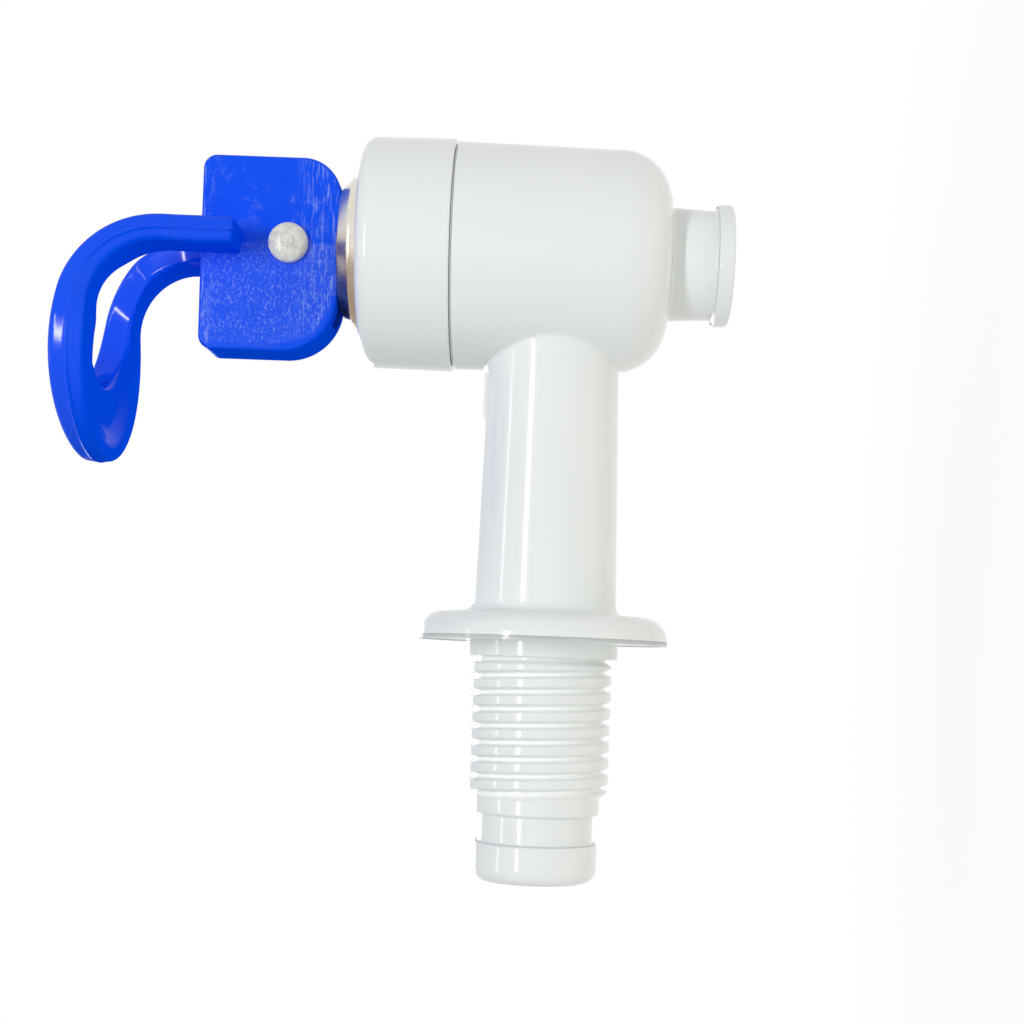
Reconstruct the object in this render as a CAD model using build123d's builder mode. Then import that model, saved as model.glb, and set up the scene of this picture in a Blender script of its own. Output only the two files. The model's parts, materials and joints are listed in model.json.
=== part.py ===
"""Push-lever drinking-water tap with a threaded tail, in millimetres.

The tail runs along -X through the tank wall and the valve stands along +Z. The origin is the
centre of the flange face that seats on the wall. The lever's paddle points back over the tail.
"""

import os
from math import cos, radians, sin, tau

from build123d import *

# Tail behind the flange, from the seat face towards its end
collar_d = 17.1
collar_len = 1.85
thread_d = 16.0
thread_len = 15.6
plain_d = 14.2
plain_len = 1.9
groove_d = 12.8
groove_len = 3.2
lip_d = 14.0
lip_len = 4.4
lip_edge_r = 1.5
inlet_d = 9.6
inlet_depth = 20.0
waterway_d = 8.0

# Flange and tapered neck
flange_d = 28.1
flange_t = 3.0
flange_edge_r = 2.6
neck_base_d = 16.4
neck_top_d = 14.4
neck_fillet_r = 1.3
neck_reach = 43.0

# Valve chamber, measured up and down from the tail's axis
chamber_low_d = 24.25
chamber_rise = 11.1
chamber_drop = 12.7
chamber_edge_r = 5.6
floor_t = 2.4

# Spout and the raised valve seat above it
spout_d = 12.3
spout_len = 5.1
spout_lip_d = 13.4
spout_lip_len = 1.8
spout_lip_edge = 0.5
outlet_d = 9.2
seat_rise = 2.8
seat_wall = 1.1

# Spigot that carries the bonnet cap, and the chamber's step outside it
spigot_d = 22.8
spigot_len = 4.9
spigot_wall = 1.4
seam_step = 1.1
seam_gap = 0.25
fit_clear = 0.05

# Bonnet cap
skirt_wall = 1.3
cap_h = 10.17
cap_edge_r = 1.6
roof_t = 2.2
clamp_rib_w = 1.5
guide_sleeve_d = 8.0
guide_sleeve_len = 4.2

# Pressed wear ring under the lever's cam
ring_d = 16.5
ring_top_d = 13.8
ring_h = 2.5
ring_side_h = 1.1
ring_hole_d = 8.6
ring_t = 0.6

# Silicone seat cup, with its rim clamped under the cap
plug_d = 12.8
plug_floor = 3.2
cup_wall = 0.9
cup_rim_t = 1.2

# Valve stem
stem_d = 6.0
foot_d = 10.2
foot_t = 1.4
button_d = 4.8
button_len = 1.8
tongue_t = 3.0
run_clear = 0.05

# Return spring
spring_d = 9.8
wire_d = 0.7
spring_turns = 6
spring_sides = 12
wire_sides = 6

# Pivot pin
pin_d = 3.0
pin_head_d = 4.4
pin_head_h = 1.5
pin_tail = 0.8
pin_rise = 5.6

# Lever block with its cam corner, from the pin's axis
block_front = 11.9
block_back = 9.7
block_h = 15.4
block_t = 7.0
block_draft = 0.25
cam_r = 6.3
heel_r = 4.3
crown_r = 1.5
block_edge = 0.5
cam_clear = 0.05
slot_end_wall = 3.4
slot_roof = 4.5
slot_clear = 0.1
lever_swing = 35.0

# Loop handle: arms that rise from the block's faces, heights from the block's foot
arm_rise = 10.8
arm_back = 1.5
arm_front = 1.4
arm_w = 5.0
arm_root = 0.2
bend_rise = 18.1
outer_bend_r = 10.6
outer_bend_turn = 80.0
crown_bend_r = 52.0
inner_bend_r = 7.3
paddle_reach = 24.6
paddle_r = 13.0
loop_r = 7.6
splay_start = 2.6
splay_r = 2.5
loop_end = 15.6
loop_edge = 0.8
dish_r = 8.4
dish_depth = 1.2
dish_offset = 14.2
dish_cove_r = 1.1

# Levels, places and fits that follow from the sizes above
chamber_d = spigot_d + 2 * seam_step
chamber_bore_d = spigot_d - 2 * spigot_wall
skirt_bore_d = spigot_d + 2 * fit_clear
cap_d = skirt_bore_d + 2 * skirt_wall
valve_axis = Axis((neck_reach, 0, 0), (0, 0, 1))
valve_plane = Plane((neck_reach, 0, 0), x_dir=(1, 0, 0), z_dir=(0, -1, 0))
seam_z = chamber_rise
spigot_top = seam_z + spigot_len
clamp_z = spigot_top + cup_rim_t
cap_bottom = seam_z + seam_gap
cap_top = cap_bottom + cap_h
roof_under = cap_top - roof_t
ring_top = cap_top + ring_h
block_bottom = ring_top + cam_clear
pin_z = block_bottom + pin_rise
block_top = block_bottom + block_h
floor_z = floor_t - chamber_drop
seat_z = floor_z + seat_rise
spout_end = -chamber_drop - spout_len - spout_lip_len
foot_z = seat_z + plug_floor
foot_top = foot_z + foot_t
tail_end = -(collar_len + thread_len + plain_len + groove_len + lip_len)
arm_z = block_bottom + arm_rise
bend_z = block_bottom + bend_rise
under_z = bend_z + inner_bend_r

# The cam corner's arc, from the pin's axis, and how far below the pin it swings
cam_out = block_front - cam_r
cam_up = cam_r - pin_rise
cam_swing_drop = cam_r + cam_out * sin(radians(lever_swing)) - cam_up * cos(radians(lever_swing))
tongue_start = pin_z - cam_swing_drop - run_clear


def near(shape, *spots):
    """The corners of a flat sketch that lie closest to the given (across, up) spots."""
    corners = shape.vertices()
    return [min(corners, key=lambda c: (c.center() - Vector(*spot)).length) for spot in spots]


# Body: tail, flange, neck, chamber and spout in one moulding
with BuildPart() as body:
    with BuildSketch(Plane.XZ) as tail_half:
        with BuildLine():
            thread_start = -collar_len
            thread_end = thread_start - thread_len
            plain_end = thread_end - plain_len
            groove_end = plain_end - groove_len
            Polyline(
                (neck_reach, 0),
                (tail_end, 0),
                (tail_end, lip_d / 2),
                (groove_end, lip_d / 2),
                (groove_end, groove_d / 2),
                (plain_end, groove_d / 2),
                (plain_end, plain_d / 2),
                (thread_end, plain_d / 2),
                (thread_end, thread_d / 2),
                (thread_start, thread_d / 2),
                (thread_start, collar_d / 2),
                (0, collar_d / 2),
                (0, flange_d / 2),
                (flange_t, flange_d / 2),
                (flange_t, neck_base_d / 2),
                (neck_reach, neck_top_d / 2),
                close=True,
            )
        make_face()
        fillet(near(tail_half, (tail_end, lip_d / 2)), lip_edge_r)
        fillet(near(tail_half, (flange_t, flange_d / 2)), flange_edge_r)
        fillet(near(tail_half, (flange_t, neck_base_d / 2)), neck_fillet_r)
    revolve(axis=Axis.X)
    with BuildSketch(valve_plane) as chamber_half:
        with BuildLine():
            Polyline(
                (0, spigot_top),
                (spigot_d / 2, spigot_top),
                (spigot_d / 2, seam_z),
                (chamber_d / 2, seam_z),
                (chamber_low_d / 2, -chamber_drop),
                (spout_d / 2, -chamber_drop),
                (spout_d / 2, spout_end + spout_lip_len),
                (spout_lip_d / 2, spout_end + spout_lip_len),
                (spout_lip_d / 2, spout_end),
                (0, spout_end),
                close=True,
            )
        make_face()
        fillet(near(chamber_half, (chamber_low_d / 2, -chamber_drop)), chamber_edge_r)
        chamfer(near(chamber_half, (spout_lip_d / 2, spout_end)), spout_lip_edge)
        chamfer(near(chamber_half, (spout_lip_d / 2, spout_end + spout_lip_len)), spout_lip_edge)
    revolve(axis=valve_axis)
    with BuildSketch(valve_plane):
        with BuildLine():
            Polyline(
                (0, spigot_top),
                (chamber_bore_d / 2, spigot_top),
                (chamber_bore_d / 2, floor_z),
                (outlet_d / 2 + seat_wall, floor_z),
                (outlet_d / 2 + seat_wall, seat_z),
                (outlet_d / 2, seat_z),
                (outlet_d / 2, spout_end),
                (0, spout_end),
                close=True,
            )
        make_face()
    revolve(axis=valve_axis, mode=Mode.SUBTRACT)
    with BuildSketch(Plane.YZ.offset(tail_end)):
        Circle(inlet_d / 2)
    extrude(amount=inlet_depth, mode=Mode.SUBTRACT)
    with BuildSketch(Plane.YZ.offset(tail_end)):
        Circle(waterway_d / 2)
    extrude(amount=neck_reach - tail_end, mode=Mode.SUBTRACT)
body.part.label = "body"

# Bonnet cap over the spigot, with a boss under the wear ring and a sleeve that guides the stem
with BuildPart() as bonnet_cap:
    with BuildSketch(valve_plane) as cap_half:
        with BuildLine():
            guide_r = stem_d / 2 + run_clear
            boss_r = ring_top_d / 2 - ring_t - fit_clear
            Polyline(
                (skirt_bore_d / 2, cap_bottom),
                (cap_d / 2, cap_bottom),
                (cap_d / 2, cap_top),
                (boss_r, cap_top),
                (boss_r, ring_top - ring_t),
                (guide_r, ring_top - ring_t),
                (guide_r, roof_under - guide_sleeve_len),
                (guide_sleeve_d / 2, roof_under - guide_sleeve_len),
                (guide_sleeve_d / 2, roof_under),
                (skirt_bore_d / 2 - clamp_rib_w, roof_under),
                (skirt_bore_d / 2 - clamp_rib_w, clamp_z),
                (skirt_bore_d / 2, clamp_z),
                close=True,
            )
        make_face()
        fillet(near(cap_half, (cap_d / 2, cap_top)), cap_edge_r)
    revolve(axis=valve_axis)
bonnet_cap.part.label = "bonnet_cap"

# Wear ring pressed from sheet: side wall, sloped shoulder and the flat that the cam rides on
with BuildPart() as wear_ring:
    with BuildSketch(valve_plane):
        with BuildLine():
            Polyline(
                (ring_d / 2 - ring_t, cap_top),
                (ring_d / 2, cap_top),
                (ring_d / 2, cap_top + ring_side_h),
                (ring_top_d / 2, ring_top),
                (ring_hole_d / 2, ring_top),
                (ring_hole_d / 2, ring_top - ring_t),
                (ring_top_d / 2 - ring_t / 2, ring_top - ring_t),
                (ring_d / 2 - ring_t, cap_top + ring_side_h - ring_t / 2),
                close=True,
            )
        make_face()
    revolve(axis=valve_axis)
wear_ring.part.label = "wear_ring"

# Seat cup: a plug that closes the seat, a thin wall and the clamped rim
with BuildPart() as seat_cup:
    with BuildSketch(valve_plane):
        with BuildLine():
            Polyline(
                (0, seat_z),
                (plug_d / 2, seat_z),
                (plug_d / 2, spigot_top),
                (spigot_d / 2, spigot_top),
                (spigot_d / 2, clamp_z),
                (plug_d / 2 - cup_wall, clamp_z),
                (plug_d / 2 - cup_wall, foot_z),
                (button_d / 2 + run_clear, foot_z),
                (button_d / 2 + run_clear, foot_z - button_len - run_clear),
                (0, foot_z - button_len - run_clear),
                close=True,
            )
        make_face()
    revolve(axis=valve_axis)
seat_cup.part.label = "seat_cup"

# Valve stem: foot in the cup, round shaft in the guide, flat tongue on the pin
with BuildPart() as valve_stem:
    with BuildSketch(valve_plane):
        with BuildLine():
            Polyline(
                (0, pin_z + stem_d / 2),
                (0, foot_z - button_len),
                (button_d / 2, foot_z - button_len),
                (button_d / 2, foot_z),
                (foot_d / 2, foot_z),
                (foot_d / 2, foot_top),
                (stem_d / 2, foot_top),
                (stem_d / 2, pin_z),
            )
            RadiusArc((stem_d / 2, pin_z), (0, pin_z + stem_d / 2), -stem_d / 2)
        make_face()
    revolve(axis=valve_axis)
    with BuildSketch(Plane.XY.offset(tongue_start)):
        with Locations((neck_reach, tongue_t / 2 + stem_d / 2), (neck_reach, -tongue_t / 2 - stem_d / 2)):
            Rectangle(2 * stem_d, stem_d)
    extrude(amount=pin_z + stem_d - tongue_start, mode=Mode.SUBTRACT)
    with BuildSketch(valve_plane):
        with Locations((0, pin_z)):
            Circle(pin_d / 2 + run_clear)
    extrude(amount=stem_d, both=True, mode=Mode.SUBTRACT)
valve_stem.part.label = "valve_stem"

# Return spring between the stem's foot and the cap's roof, its coil and wire drawn as polygons
with BuildPart() as return_spring:
    spring_low = foot_top + wire_d / 2
    spring_rise = roof_under - foot_top - wire_d
    coil_steps = spring_turns * spring_sides
    with BuildLine() as coil:
        Polyline(
            [
                (
                    neck_reach + spring_d / 2 * cos(tau * step / spring_sides),
                    spring_d / 2 * sin(tau * step / spring_sides),
                    spring_low + spring_rise * step / coil_steps,
                )
                for step in range(coil_steps + 1)
            ]
        )
    with BuildSketch(Plane(coil.line @ 0, z_dir=coil.line % 0)):
        RegularPolygon(wire_d / 2, wire_sides)
    sweep(transition=Transition.RIGHT)
return_spring.part.label = "return_spring"

# Pivot pin: domed head on the near face of the block, plain shank through the tongue
with BuildPart() as pivot_pin:
    with BuildSketch(Plane((neck_reach, 0, pin_z))) as pin_half:
        with BuildLine():
            head_y = -block_t / 2
            nub_r = pin_head_d / 6
            dome = ThreePointArc(
                (pin_head_d / 2, head_y - pin_head_h / 3),
                (pin_head_d / 2.7, head_y - pin_head_h * 0.78),
                (nub_r, head_y - pin_head_h * 0.92),
            )
            Polyline(
                dome @ 1,
                (nub_r, head_y - pin_head_h),
                (0, head_y - pin_head_h),
                (0, block_t / 2 + pin_tail),
                (pin_d / 2, block_t / 2 + pin_tail),
                (pin_d / 2, head_y),
                (pin_head_d / 2, head_y),
                dome @ 0,
            )
        make_face()
        chamfer(near(pin_half, (pin_d / 2, block_t / 2 + pin_tail)), pin_tail / 2)
    revolve(axis=Axis((neck_reach, 0, pin_z), (0, 1, 0)))
pivot_pin.part.label = "pivot_pin"

# Loop handle: a bent side profile cut to the plan of two arms that splay to a round paddle
with BuildPart() as loop_handle:
    with BuildSketch(valve_plane):
        with BuildLine():
            rear = Line((arm_back, arm_z), (arm_back, bend_z))
            outer_bend = JernArc(rear @ 1, rear % 1, outer_bend_r, outer_bend_turn)
            crown = JernArc(outer_bend @ 1, outer_bend % 1, crown_bend_r, outer_bend_turn / 3)
            inner_bend = JernArc((-arm_front, bend_z), (0, 1), inner_bend_r, 90)
            Polyline(crown @ 1, ((crown @ 1).X, under_z), inner_bend @ 1)
            Polyline(inner_bend @ 0, (-arm_front, arm_z), rear @ 0)
        make_face()
    extrude(amount=paddle_r, both=True)
    with BuildSketch(Plane((neck_reach, 0, arm_z))):
        arm_in = block_t / 2 - arm_root
        arm_out = block_t / 2 + arm_w
        arm_mid = (arm_back - arm_front) / 2
        arm_t = arm_back + arm_front
        with BuildSketch(mode=Mode.PRIVATE) as loop_outline:
            with Locations((paddle_r - paddle_reach, 0)):
                Circle(paddle_r)
            with Locations((arm_mid, 0)):
                Rectangle(arm_t, 2 * arm_out)
            make_hull()
        with BuildSketch(mode=Mode.PRIVATE) as finger_hole:
            with Locations((loop_r - loop_end, 0)):
                Circle(loop_r)
            with Locations((-splay_start, 0)):
                Rectangle(arm_root, 2 * arm_in)
            make_hull()
            with Locations((-splay_start, 0)):
                Rectangle(splay_start + 2 * arm_back, 2 * arm_in, align=(Align.MIN, Align.CENTER))
            fillet(near(finger_hole, (-splay_start, arm_in), (-splay_start, -arm_in)), splay_r)
        add(loop_outline.sketch)
        add(finger_hole.sketch, mode=Mode.SUBTRACT)
    extrude(amount=under_z, mode=Mode.INTERSECT)
    bends = loop_handle.edges().filter_by(lambda edge: edge.center().Z > bend_z - loop_edge)
    smooth = bends.filter_by(Axis.Y) + bends.filter_by(Axis.Z)
    chamfer([edge for edge in loop_handle.edges() if edge not in smooth], loop_edge)
    with BuildSketch(valve_plane) as dish_half:
        with BuildLine():
            Polyline(
                (-dish_offset, under_z - dish_depth),
                (dish_r - dish_offset, under_z - dish_depth),
                (dish_r - dish_offset, under_z + dish_depth),
                (-dish_offset, under_z + dish_depth),
                close=True,
            )
        make_face()
        fillet(near(dish_half, (dish_r - dish_offset, under_z + dish_depth)), dish_cove_r)
    revolve(axis=Axis((neck_reach - dish_offset, 0, 0), (0, 0, 1)), mode=Mode.SUBTRACT)
loop_handle.part.label = "loop_handle"

# Lever: cam block and loop handle in one moulding
with BuildPart() as lever:
    with BuildSketch(valve_plane) as block_side:
        with BuildLine():
            Polyline(
                (-block_front, block_bottom),
                (block_back, block_bottom),
                (block_back, block_top),
                (-block_front, block_top),
                close=True,
            )
        make_face()
        fillet(near(block_side, (-block_front, block_bottom)), cam_r)
        fillet(near(block_side, (block_back, block_bottom)), heel_r)
        fillet(near(block_side, (block_back, block_top), (-block_front, block_top)), crown_r)
    extrude(amount=block_t / 2, both=True)
    with BuildSketch(Plane((neck_reach, 0, block_bottom))):
        edge_y = block_t / 2 - block_draft
        with BuildLine():
            Polyline(
                (-block_front, -edge_y),
                (0, -block_t / 2),
                (block_back, -edge_y),
                (block_back, edge_y),
                (0, block_t / 2),
                (-block_front, edge_y),
                close=True,
            )
        make_face()
    extrude(amount=block_h, mode=Mode.INTERSECT)
    rims = lever.edges().filter_by(lambda edge: abs(edge.center().Y) > edge_y / 2)
    chamfer(rims.filter_by(lambda edge: abs(edge.center().X - neck_reach) > run_clear), block_edge)
    add(loop_handle.part)
    with BuildSketch(Plane((neck_reach, 0, block_bottom))):
        slot_front = slot_end_wall - block_front
        slot_back = block_back - slot_end_wall
        with Locations(((slot_front + slot_back) / 2, 0)):
            Rectangle(slot_back - slot_front, tongue_t + 2 * slot_clear)
    extrude(amount=block_h - slot_roof, mode=Mode.SUBTRACT)
    with BuildSketch(valve_plane):
        with Locations((0, pin_z)):
            Circle(pin_d / 2 + fit_clear)
    extrude(amount=block_t, both=True, mode=Mode.SUBTRACT)
lever.part.label = "lever"

os.makedirs("parts", exist_ok=True)
for piece in (body, bonnet_cap, wear_ring, seat_cup, valve_stem, return_spring, pivot_pin, lever):
    export_step(piece.part, f"parts/{piece.part.label}.step")
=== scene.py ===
"""Looks of the push-lever water tap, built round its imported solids.

Shapes are worked out in millimetres in the solids' frame, the tail along -X and the valve along +Z,
and become metres when they are put into a mesh.
"""

import json

import bmesh
import bpy
import numpy as np
from mathutils import Matrix, Vector


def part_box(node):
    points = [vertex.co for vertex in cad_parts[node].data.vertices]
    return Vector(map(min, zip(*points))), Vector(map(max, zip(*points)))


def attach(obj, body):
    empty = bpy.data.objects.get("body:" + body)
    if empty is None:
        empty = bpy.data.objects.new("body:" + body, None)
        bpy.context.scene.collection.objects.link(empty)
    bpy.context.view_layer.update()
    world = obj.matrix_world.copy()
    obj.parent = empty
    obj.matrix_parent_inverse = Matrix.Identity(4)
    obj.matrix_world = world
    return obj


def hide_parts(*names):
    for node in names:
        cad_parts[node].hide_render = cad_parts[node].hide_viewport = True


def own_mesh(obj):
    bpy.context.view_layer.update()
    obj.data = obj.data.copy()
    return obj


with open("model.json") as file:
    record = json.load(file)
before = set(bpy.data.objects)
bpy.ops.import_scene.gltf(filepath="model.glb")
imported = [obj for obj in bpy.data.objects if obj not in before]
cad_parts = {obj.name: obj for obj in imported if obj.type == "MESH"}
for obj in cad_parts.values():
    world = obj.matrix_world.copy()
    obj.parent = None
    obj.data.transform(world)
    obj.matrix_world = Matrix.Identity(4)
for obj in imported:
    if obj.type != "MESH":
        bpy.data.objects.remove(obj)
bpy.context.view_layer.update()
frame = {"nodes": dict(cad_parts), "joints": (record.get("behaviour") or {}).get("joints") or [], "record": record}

MM = 0.001
TAU = 2 * np.pi
QUARTER = np.pi / 2
AROUND = 192
ARC_STEPS = 9
EDGE_STEPS = 7
SAME_PLACE = 1e-4
SHARP_ANGLE = np.radians(35)


def node_box(node):
    """Lowest and highest corner of a solid, in millimetres."""
    return [np.array(corner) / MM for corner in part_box(node)]


# Sizes read from the solids and the record
body_low, body_high = node_box("body")
cap_low, cap_high = node_box("bonnet_cap")
ring_low, ring_high = node_box("wear_ring")
cup_low, cup_high = node_box("seat_cup")
spring_low, spring_high = node_box("return_spring")
pin_low, pin_high = node_box("pivot_pin")
lever_low = node_box("lever")[0]
mounts = {mount["name"]: mount["dims"] for mount in frame["record"]["mounts"]}
valve_x = (cap_low[0] + cap_high[0]) / 2
pin_z = (pin_low[2] + pin_high[2]) / 2
tail_end, spout_end, spigot_top = body_low[0], body_low[2], body_high[2]
cap_top = ring_low[2]
ring_top = ring_high[2]
block_bottom = lever_low[2]
flange_r = body_high[1]
collar_r, collar_len = mounts["wall_collar"]["r_mm"], mounts["wall_collar"]["length_mm"]
crest_r, thread_len = mounts["tail_thread"]["r_mm"], mounts["tail_thread"]["length_mm"]
inlet_r, outlet_r = mounts["inlet"]["r_mm"], mounts["outlet"]["r_mm"]

# Edge radii that several pieces share
hair_edge, crisp_edge, fine_edge, small_edge, plain_edge, soft_edge = 0.05, 0.1, 0.15, 0.2, 0.3, 0.4

# Tail, flange and neck
root_r, thread_pitch, thread_rows = 7.15, 1.85, 180
flank_low, flank_high, crest_dome = 0.03, 0.27, 0.1
thread_relief, thread_gap, thread_lead, thread_fade = 0.25, 0.05, 0.1, 0.9
plain_r, plain_len, plain_foot = 7.1, 1.9, 0.25
groove_r, groove_len = 6.4, 3.2
lip_r, lip_edge, lip_top = 7.0, 1.5, 0.35
inlet_depth, waterway_r = 20.0, 4.0
flange_t, flange_edge = 3.0, 2.6
neck_base_r, neck_top_r, neck_fillet, neck_mid = 8.2, 7.2, 1.3, 26.0
saddle_fillet, saddle_sink, saddle_hold = 0.3, 1.2, 0.6

# Chamber, spout and cap
chamber_r, chamber_low_r, chamber_bore_r, bore_foot = 12.5, 12.125, 10.0, 1.0
seam_z, chamber_foot, chamber_edge = 11.1, -12.7, 5.6
ledge_t, seam_gap = 0.35, 0.04
floor_z, seat_z, seat_wall = -10.3, -7.5, 1.1
spout_r, spout_low_r, outlet_edge = 6.25, 6.0, 0.35
spout_lip_r, spout_lip_len, spout_lip_edge = 6.7, 1.8, 0.45
spigot_r, skirt_r, skirt_edge = 11.4, 11.45, 0.22
cap_r, cap_edge, cap_draft = (cap_high[0] - cap_low[0]) / 2, 1.6, 0.1
boss_r, guide_r, sleeve_r, rib_r = 6.25, 3.05, 4.0, 9.95
roof_z, sleeve_z, clamp_z = cap_top - 2.2, cap_top - 6.4, spigot_top + 1.2

# Wear ring, seat cup and spring
ring_t, ring_top_r, ring_hole_r, ring_side = 0.6, 6.9, 4.3, 1.1
ring_foot, ring_shoulder, ring_crown = 0.12, 0.55, 0.6
cup_r, cup_wall, cup_floor, plug_edge = 6.4, 0.9, 3.2, 0.5
button_r, button_len = 2.45, 1.85
coil_r, coil_wire, coil_turns = 4.9, 0.35, 6
turn_steps, wire_sides = 48, 12

# Pivot pin
head_r, nub_r, shank_r = 2.2, 0.72, 1.5
brow_h, nub_h, nub_edge, head_edge, dome_steps = 0.5, 0.1, 0.08, 0.15, 14

# Lever block, from the pin's axis
block_front, block_back, block_h = 11.9, 9.7, 15.4
block_half, block_draft, block_edge = 3.5, 0.25, 0.45
cam_r, heel_r, crown_r = 6.3, 4.3, 1.5
slot_front, slot_back, slot_half, slot_h, slot_spare = 8.5, 6.3, 1.6, 10.9, 1.0
corner_steps, run_steps, block_around, face_rows = 40, 60, 320, 25

# Loop handle: distances ahead of the valve's axis are negative, towards the paddle
arm_z, bend_z = block_bottom + 10.8, block_bottom + 18.1
arm_back, arm_front = 1.5, -1.4
arm_in, arm_out = 3.3, 9.0
outer_bend, outer_turn, inner_bend = 10.6, np.radians(80), 7.3
crown_bend = 52.0
paddle_tip, paddle_r, paddle_start = -24.6, 13.0, np.radians(66)
hole_tip, hole_r, hole_start = -15.6, 7.6, np.radians(36)
loop_edge, loop_edge_share, tip_edge = 0.6, 0.45, 0.45
loop_draft, draft_start = 0.24, 0.6
ridge_h, ridge_w, ridge_place, tip_calm = 0.16, 0.14, 0.46, 6.0
dish_at, dish_r, dish_depth, dish_cove = -14.2, 9.0, 0.9, 3.0
plan_steps, swing_steps, soft_passes = 400, 60, 30
arm_rows, rest_rows, under_columns, side_columns = 24, 150, 48, 17


def smooth_step(low, high, value):
    """0 below low, 1 above high, and 3t^2 - 2t^3 between them."""
    t = np.clip((value - low) / (high - low), 0, 1)
    return t * t * (3 - 2 * t)


def rounded(corners, closed=True, steps=ARC_STEPS):
    """A line through (a, b, radius) corners, each swapped for the arc that touches both its sides.

    The arc starts radius * tan(turn / 2) before the corner. A point on each side of it, a fifth of
    the radius away, keeps the shading of the straight runs flat.
    """
    corners = np.array(corners, float)
    spots, radius = corners[:, :2], corners[:, 2:]
    before, after = np.roll(spots, 1, 0), np.roll(spots, -1, 0)
    if not closed:
        before[0], after[-1] = 2 * spots[0] - spots[1], 2 * spots[-1] - spots[-2]
    inward = (spots - before) / np.linalg.norm(spots - before, axis=1, keepdims=True)
    onward = (after - spots) / np.linalg.norm(after - spots, axis=1, keepdims=True)
    cross = inward[:, :1] * onward[:, 1:] - inward[:, 1:] * onward[:, :1]
    turn = np.arctan2(np.abs(cross), np.sum(inward * onward, 1, keepdims=True))
    side = np.sign(cross) * np.stack([-inward[:, 1], inward[:, 0]], 1)
    start = spots - inward * radius * np.tan(turn / 2)
    angle = turn[:, None] * np.linspace(0, 1, steps)[None, :, None]
    bend = start[:, None] + radius[:, None] * (
        side[:, None] * (1 - np.cos(angle)) + inward[:, None] * np.sin(angle)
    )
    hold = 0.2 * radius
    line = np.concatenate(
        [(start - inward * hold)[:, None], bend, (bend[:, -1] + onward * hold)[:, None]], 1
    ).reshape(-1, 2)
    fresh = np.linalg.norm(line - np.roll(line, 1, 0), axis=1) > SAME_PLACE
    fresh[0] = True
    return line[fresh]


def turned(profile, origin, along, side):
    """A (radius, height) profile spun about an axis.

    point = origin + height * along + radius * (cos(t) * side + sin(t) * along x side)
    """
    along, side = np.array(along, float), np.array(side, float)
    t = np.linspace(0, TAU, AROUND, endpoint=False)[None, :, None]
    spoke = np.cos(t) * side + np.sin(t) * np.cross(along, side)
    return np.array(origin) + profile[:, 1, None, None] * along + profile[:, 0, None, None] * spoke


def valve_turned(corners, closed=True):
    """A rounded (radius, height) profile spun about the valve's axis."""
    return turned(rounded(corners, closed), (valve_x, 0, 0), (0, 0, 1), (1, 0, 0))


def mesh_from(name, *grids):
    """A mesh from grids of points in millimetres.

    Each grid comes with whether its rows and its columns close on themselves. Each cell is a quad. A
    grid whose quads enclose a negative volume is turned the other way round.
    """
    spots, quads, count = [], [], 0
    for points, rows_close, columns_close in grids:
        rows, columns = points.shape[:2]
        row = np.arange(rows if rows_close else rows - 1)[:, None]
        column = np.arange(columns if columns_close else columns - 1)[None, :]
        row_on, column_on = (row + 1) % rows * columns, (column + 1) % columns
        row = row * columns
        cells = np.stack([row + column, row_on + column, row_on + column_on, row + column_on], -1)
        cells = cells.reshape(-1, 4)
        flat = points.reshape(-1, 3)
        a, b, c, d = (flat[cells[:, k]] for k in range(4))
        volume = np.sum(a * np.cross(b, c)) + np.sum(a * np.cross(c, d))
        quads.append((cells if volume > 0 else cells[:, ::-1]) + count)
        spots.append(flat * MM)
        count += len(flat)
    mesh = bpy.data.meshes.new(name)
    mesh.from_pydata(np.concatenate(spots), [], np.concatenate(quads))
    return cleaned(mesh)


def cleaned(*meshes):
    """The first mesh with the others joined to it, poles closed, smooth but for its sharp edges."""
    work = bmesh.new()
    for mesh in meshes:
        work.from_mesh(mesh)
    bmesh.ops.remove_doubles(work, verts=work.verts, dist=SAME_PLACE * MM)
    work.to_mesh(meshes[0])
    work.free()
    meshes[0].shade_smooth()
    meshes[0].set_sharp_from_angle(angle=SHARP_ANGLE)
    return meshes[0]


def shown(mesh):
    """A new object with this mesh, in the scene."""
    thing = bpy.data.objects.new(mesh.name, mesh)
    bpy.context.scene.collection.objects.link(thing)
    return thing


def piece(mesh, node, body, finish):
    """The mesh as a piece that stands for a solid, rides on a body and has a finish."""
    thing = shown(mesh)
    mesh.materials.append(finish)
    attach(thing, body)
    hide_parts(node)
    return thing


def saddle_x(radius, t):
    """Where a line along the neck, at a radius and an angle, meets the chamber's tapered wall.

    x = valve_x - sqrt(R(z)^2 - y^2), with R shrinking evenly from the seam to the chamber's foot
    """
    y, z = radius * np.cos(t), radius * np.sin(t)
    taper = (seam_z - z) / (seam_z - chamber_foot)
    wall = chamber_r + (chamber_low_r - chamber_r) * taper
    return valve_x - np.sqrt(wall**2 - y**2)


def thread_height(x, t):
    """Share of the thread's depth along the tail and round it: 0 in the groove, 1 on the crest.

    The helix's phase is x / pitch - t / tau. The height rises from the groove's middle by a smooth
    step, rounds off over the crest, and fades out at both ends.
    """
    phase = (x / thread_pitch - t / TAU) % 1
    from_groove = np.abs(phase - 0.5)
    flank = smooth_step(flank_low, flank_high, from_groove)
    height = (1 - crest_dome) * flank + crest_dome * (1 - (1 - 2 * from_groove) ** 2)
    run_in = smooth_step(thread_lead, thread_fade, -collar_len - x)
    run_out = smooth_step(-thread_lead, thread_fade, x - (-collar_len - thread_len))
    return height * run_in * run_out


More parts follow.
